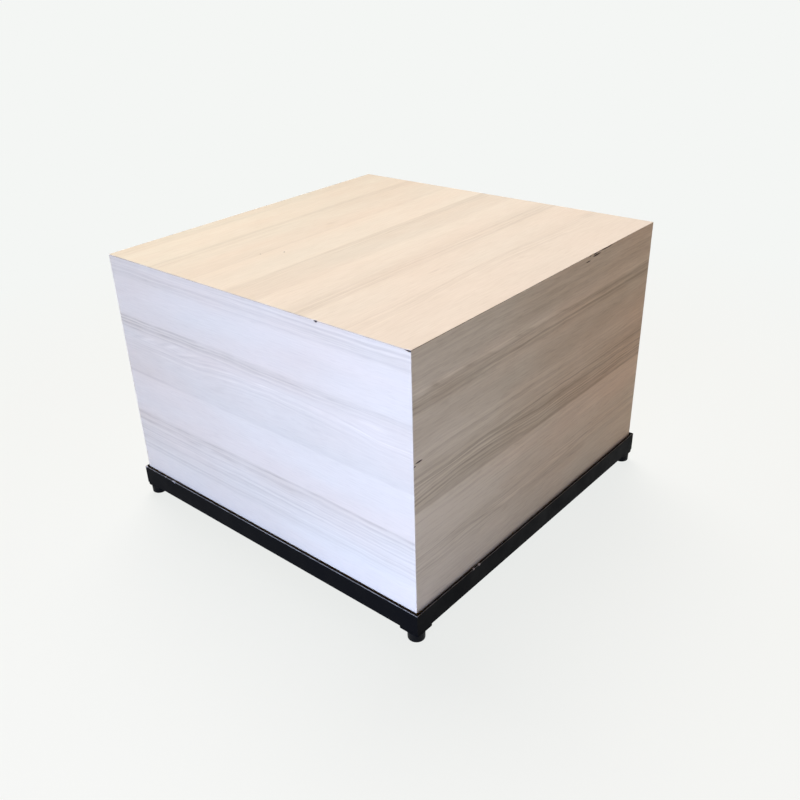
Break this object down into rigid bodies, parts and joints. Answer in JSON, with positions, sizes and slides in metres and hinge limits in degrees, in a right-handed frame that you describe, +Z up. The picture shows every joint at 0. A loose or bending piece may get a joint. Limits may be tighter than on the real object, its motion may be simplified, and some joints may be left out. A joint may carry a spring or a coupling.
{
  "type": "display plinth",
  "caption": "Low square display plinth: a pale ash laminate box standing in a black steel angle base frame on screw-adjusted levelling feet, for showing goods in a shop.",
  "frame": {"origin": "middle of the square plan, on the floor under the foot discs", "axes": "+Z up, the front looks along -Y, +X to the right seen from the front"},
  "size_m": [0.916, 0.916, 0.6534],
  "materials": {
    "ash_laminate": "high-pressure laminate with a pale whitewashed ash plank print, fine satin grain",
    "board_core": "raw particle board, cut edges bare",
    "softwood": "planed softwood batten",
    "black_steel": "satin black paint on rolled steel angle, chipped on the lip",
    "zinc_steel": "bright zinc plate",
    "black_nylon": "moulded black nylon",
    "rubber": "moulded black rubber"
  },
  "bodies": {
    "plinth": {"back_cleat": "softwood", "back_laminate": "ash_laminate", "back_panel": "board_core", "back_rail": "black_steel", "back_screw_1": "zinc_steel", "back_screw_2": "zinc_steel", "foot_plate_back_left": "black_steel", "foot_plate_back_right": "black_steel", "foot_plate_front_left": "black_steel", "foot_plate_front_right": "black_steel", "foot_stud_back_left": "zinc_steel", "foot_stud_back_right": "zinc_steel", "foot_stud_front_left": "zinc_steel", "foot_stud_front_right": "zinc_steel", "front_cleat": "softwood", "front_laminate": "ash_laminate", "front_panel": "board_core", "front_rail": "black_steel", "front_screw_1": "zinc_steel", "front_screw_2": "zinc_steel", "left_cleat": "softwood", "left_laminate": "ash_laminate", "left_panel": "board_core", "left_rail": "black_steel", "left_screw_1": "zinc_steel", "left_screw_2": "zinc_steel", "post_back_left": "softwood", "post_back_right": "softwood", "post_front_left": "softwood", "post_front_right": "softwood", "rib_across": "board_core", "rib_front_to_back": "board_core", "right_cleat": "softwood", "right_laminate": "ash_laminate", "right_panel": "board_core", "right_rail": "black_steel", "right_screw_1": "zinc_steel", "right_screw_2": "zinc_steel", "top_laminate": "ash_laminate", "top_panel": "board_core"},
    "disc_front_left": {"foot_disc_front_left": "rubber"},
    "pad_front_left": {"foot_pad_front_left": "black_nylon"},
    "disc_front_right": {"foot_disc_front_right": "rubber"},
    "pad_front_right": {"foot_pad_front_right": "black_nylon"},
    "disc_back_left": {"foot_disc_back_left": "rubber"},
    "pad_back_left": {"foot_pad_back_left": "black_nylon"},
    "disc_back_right": {"foot_disc_back_right": "rubber"},
    "pad_back_right": {"foot_pad_back_right": "black_nylon"}
  },
  "joints": [
    {"name": "foot_lift_front_left", "type": "slide", "parent": "plinth", "child": "disc_front_left", "axis": [0, 0, -1], "range_m": [0, 0.006]},
    {"name": "foot_turn_front_left", "type": "hinge", "parent": "disc_front_left", "child": "pad_front_left", "pos_m": [-0.439, -0.439, 0.01], "axis": [0, 0, -1], "range_deg": [0, 1440]},
    {"name": "foot_lift_front_right", "type": "slide", "parent": "plinth", "child": "disc_front_right", "axis": [0, 0, -1], "range_m": [0, 0.006]},
    {"name": "foot_turn_front_right", "type": "hinge", "parent": "disc_front_right", "child": "pad_front_right", "pos_m": [0.439, -0.439, 0.01], "axis": [0, 0, -1], "range_deg": [0, 1440]},
    {"name": "foot_lift_back_left", "type": "slide", "parent": "plinth", "child": "disc_back_left", "axis": [0, 0, -1], "range_m": [0, 0.006]},
    {"name": "foot_turn_back_left", "type": "hinge", "parent": "disc_back_left", "child": "pad_back_left", "pos_m": [-0.439, 0.439, 0.01], "axis": [0, 0, -1], "range_deg": [0, 1440]},
    {"name": "foot_lift_back_right", "type": "slide", "parent": "plinth", "child": "disc_back_right", "axis": [0, 0, -1], "range_m": [0, 0.006]},
    {"name": "foot_turn_back_right", "type": "hinge", "parent": "disc_back_right", "child": "pad_back_right", "pos_m": [0.439, 0.439, 0.01], "axis": [0, 0, -1], "range_deg": [0, 1440]}
  ],
  "couplings": [
    {"joint": "foot_lift_front_left", "follows": "foot_turn_front_left", "m_per_rad": 0.00023873},
    {"joint": "foot_lift_front_right", "follows": "foot_turn_front_right", "m_per_rad": 0.00023873},
    {"joint": "foot_lift_back_left", "follows": "foot_turn_back_left", "m_per_rad": 0.00023873},
    {"joint": "foot_lift_back_right", "follows": "foot_turn_back_right", "m_per_rad": 0.00023873}
  ]
}
